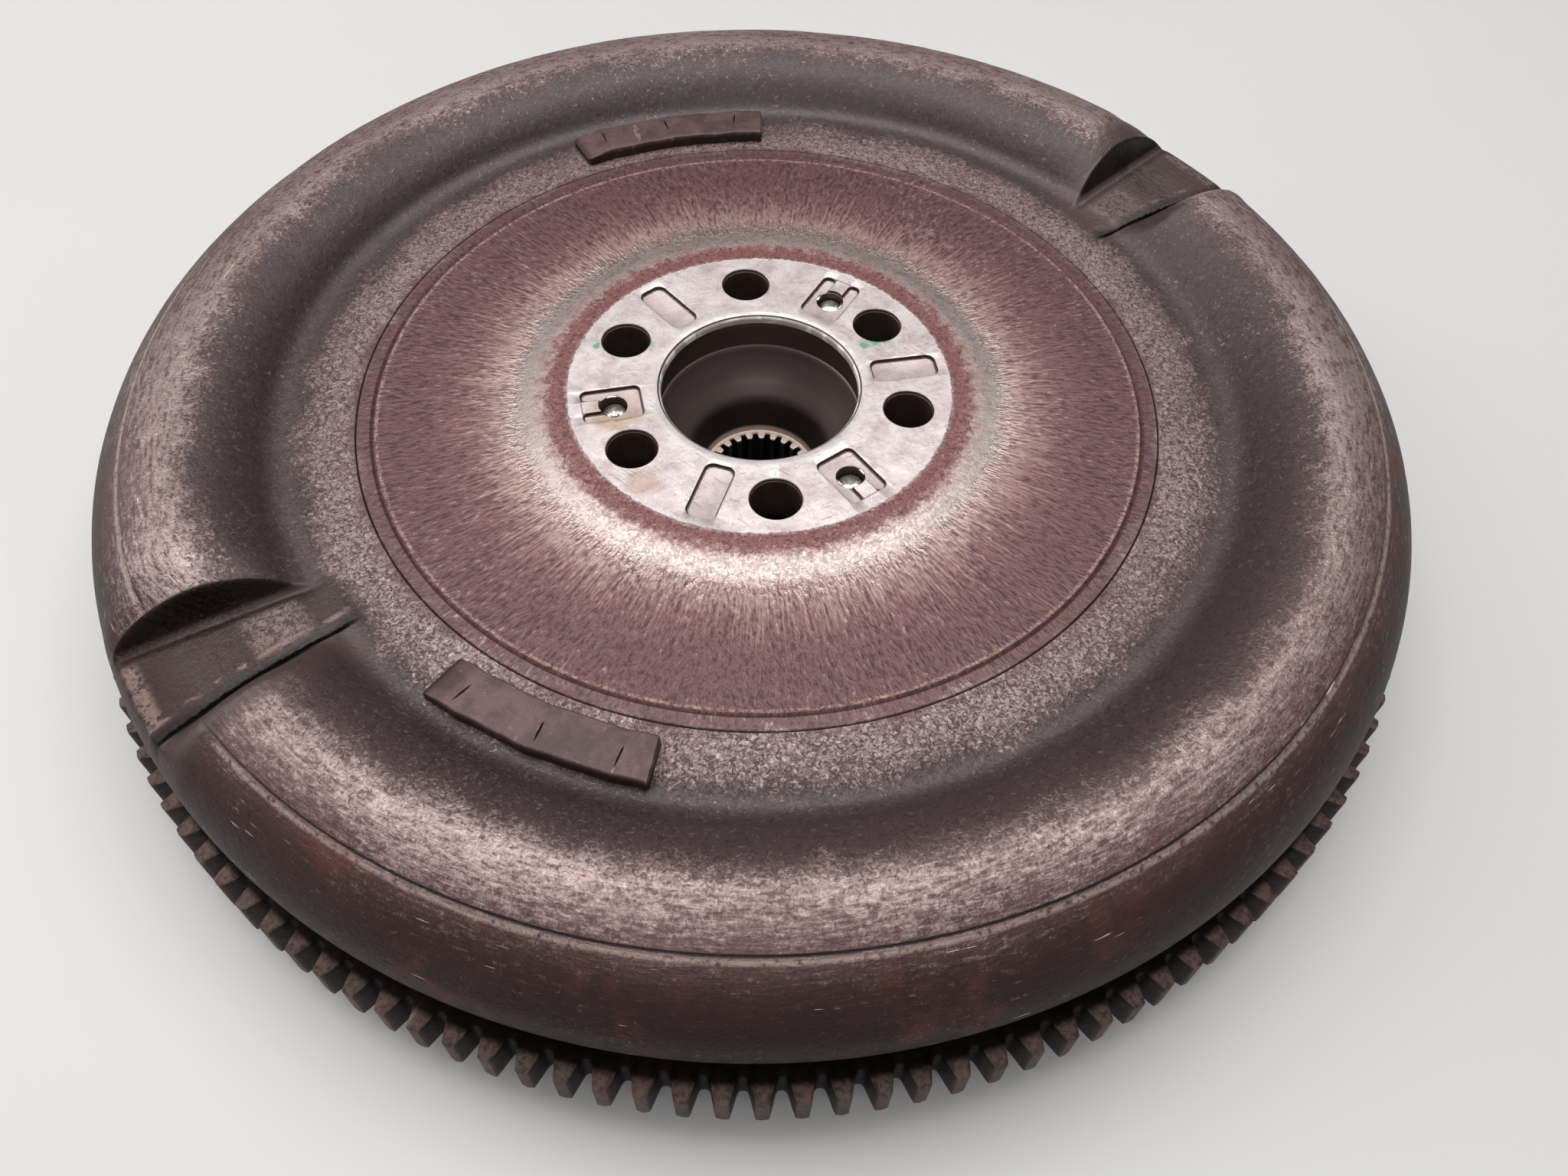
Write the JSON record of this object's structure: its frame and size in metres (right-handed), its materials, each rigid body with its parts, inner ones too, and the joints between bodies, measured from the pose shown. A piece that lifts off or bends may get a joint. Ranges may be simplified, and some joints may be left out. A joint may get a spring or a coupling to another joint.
{
  "type": "dual-mass flywheel",
  "caption": "Round pressed-steel engine flywheel with a toothed starter ring, an inner arc-spring damper and a splined output hub on its axis.",
  "frame": {"origin": "centre of the crank face, the machined face that bolts to the crankshaft, on the axis of rotation", "axes": "+Z along the axis of rotation, towards the engine; +X and +Y square to the rectangle of four of the crank bolt holes, with the odd sixth hole near -Y"},
  "size_m": [0.2836, 0.2836, 0.047],
  "materials": {
    "shell_steel": "pressed steel, dark brown with surface rust, machined bright round the crank bolts",
    "hub_steel": "forged steel, oily and dark",
    "pin_steel": "polished hardened steel",
    "cover_steel": "forged steel, dark, light surface rust, turned on the base",
    "gear_steel": "hardened steel with a brown oxide film",
    "weight_steel": "cut steel strip, dull",
    "polymer": "dark brown glass-filled polymer",
    "spring_steel": "dark tempered spring steel, greased",
    "flange_steel": "blanked and hardened steel",
    "membrane_steel": "thin cold-rolled spring steel",
    "output_steel": "dark phosphated steel, bright on the splined face",
    "rivet_steel": "headed steel rivets"
  },
  "bodies": {
    "primary": {"primary_shell": "shell_steel", "hub_ring": "hub_steel", "bolt_washer_plate": "hub_steel", "hub_pins": "pin_steel", "primary_cover": "cover_steel", "starter_ring_gear": "gear_steel", "balance_weight_1": "weight_steel", "balance_weight_2": "weight_steel", "bearing_bush": "polymer", "spring_guide_1": "spring_steel", "spring_guide_2": "spring_steel", "arc_spring_outer_1": "spring_steel", "arc_spring_outer_2": "spring_steel", "arc_spring_inner_1": "spring_steel", "arc_spring_inner_2": "spring_steel", "disc_spring": "spring_steel", "cover_seal_ring": "polymer"},
    "output": {"output_flange": "flange_steel", "seal_membrane": "membrane_steel", "output_hub": "output_steel", "flange_rivets": "rivet_steel", "friction_ring": "polymer"}
  },
  "joints": [
    {"name": "output_twist", "type": "hinge", "parent": "primary", "child": "output", "pos_m": [0, 0, -0.0105], "axis": [0, 0, 1], "range_deg": [-50, 50], "stiffness_Nm_per_rad": 400, "deforming": ["arc_spring_outer_1", "arc_spring_outer_2", "arc_spring_inner_1", "arc_spring_inner_2"]}
  ]
}
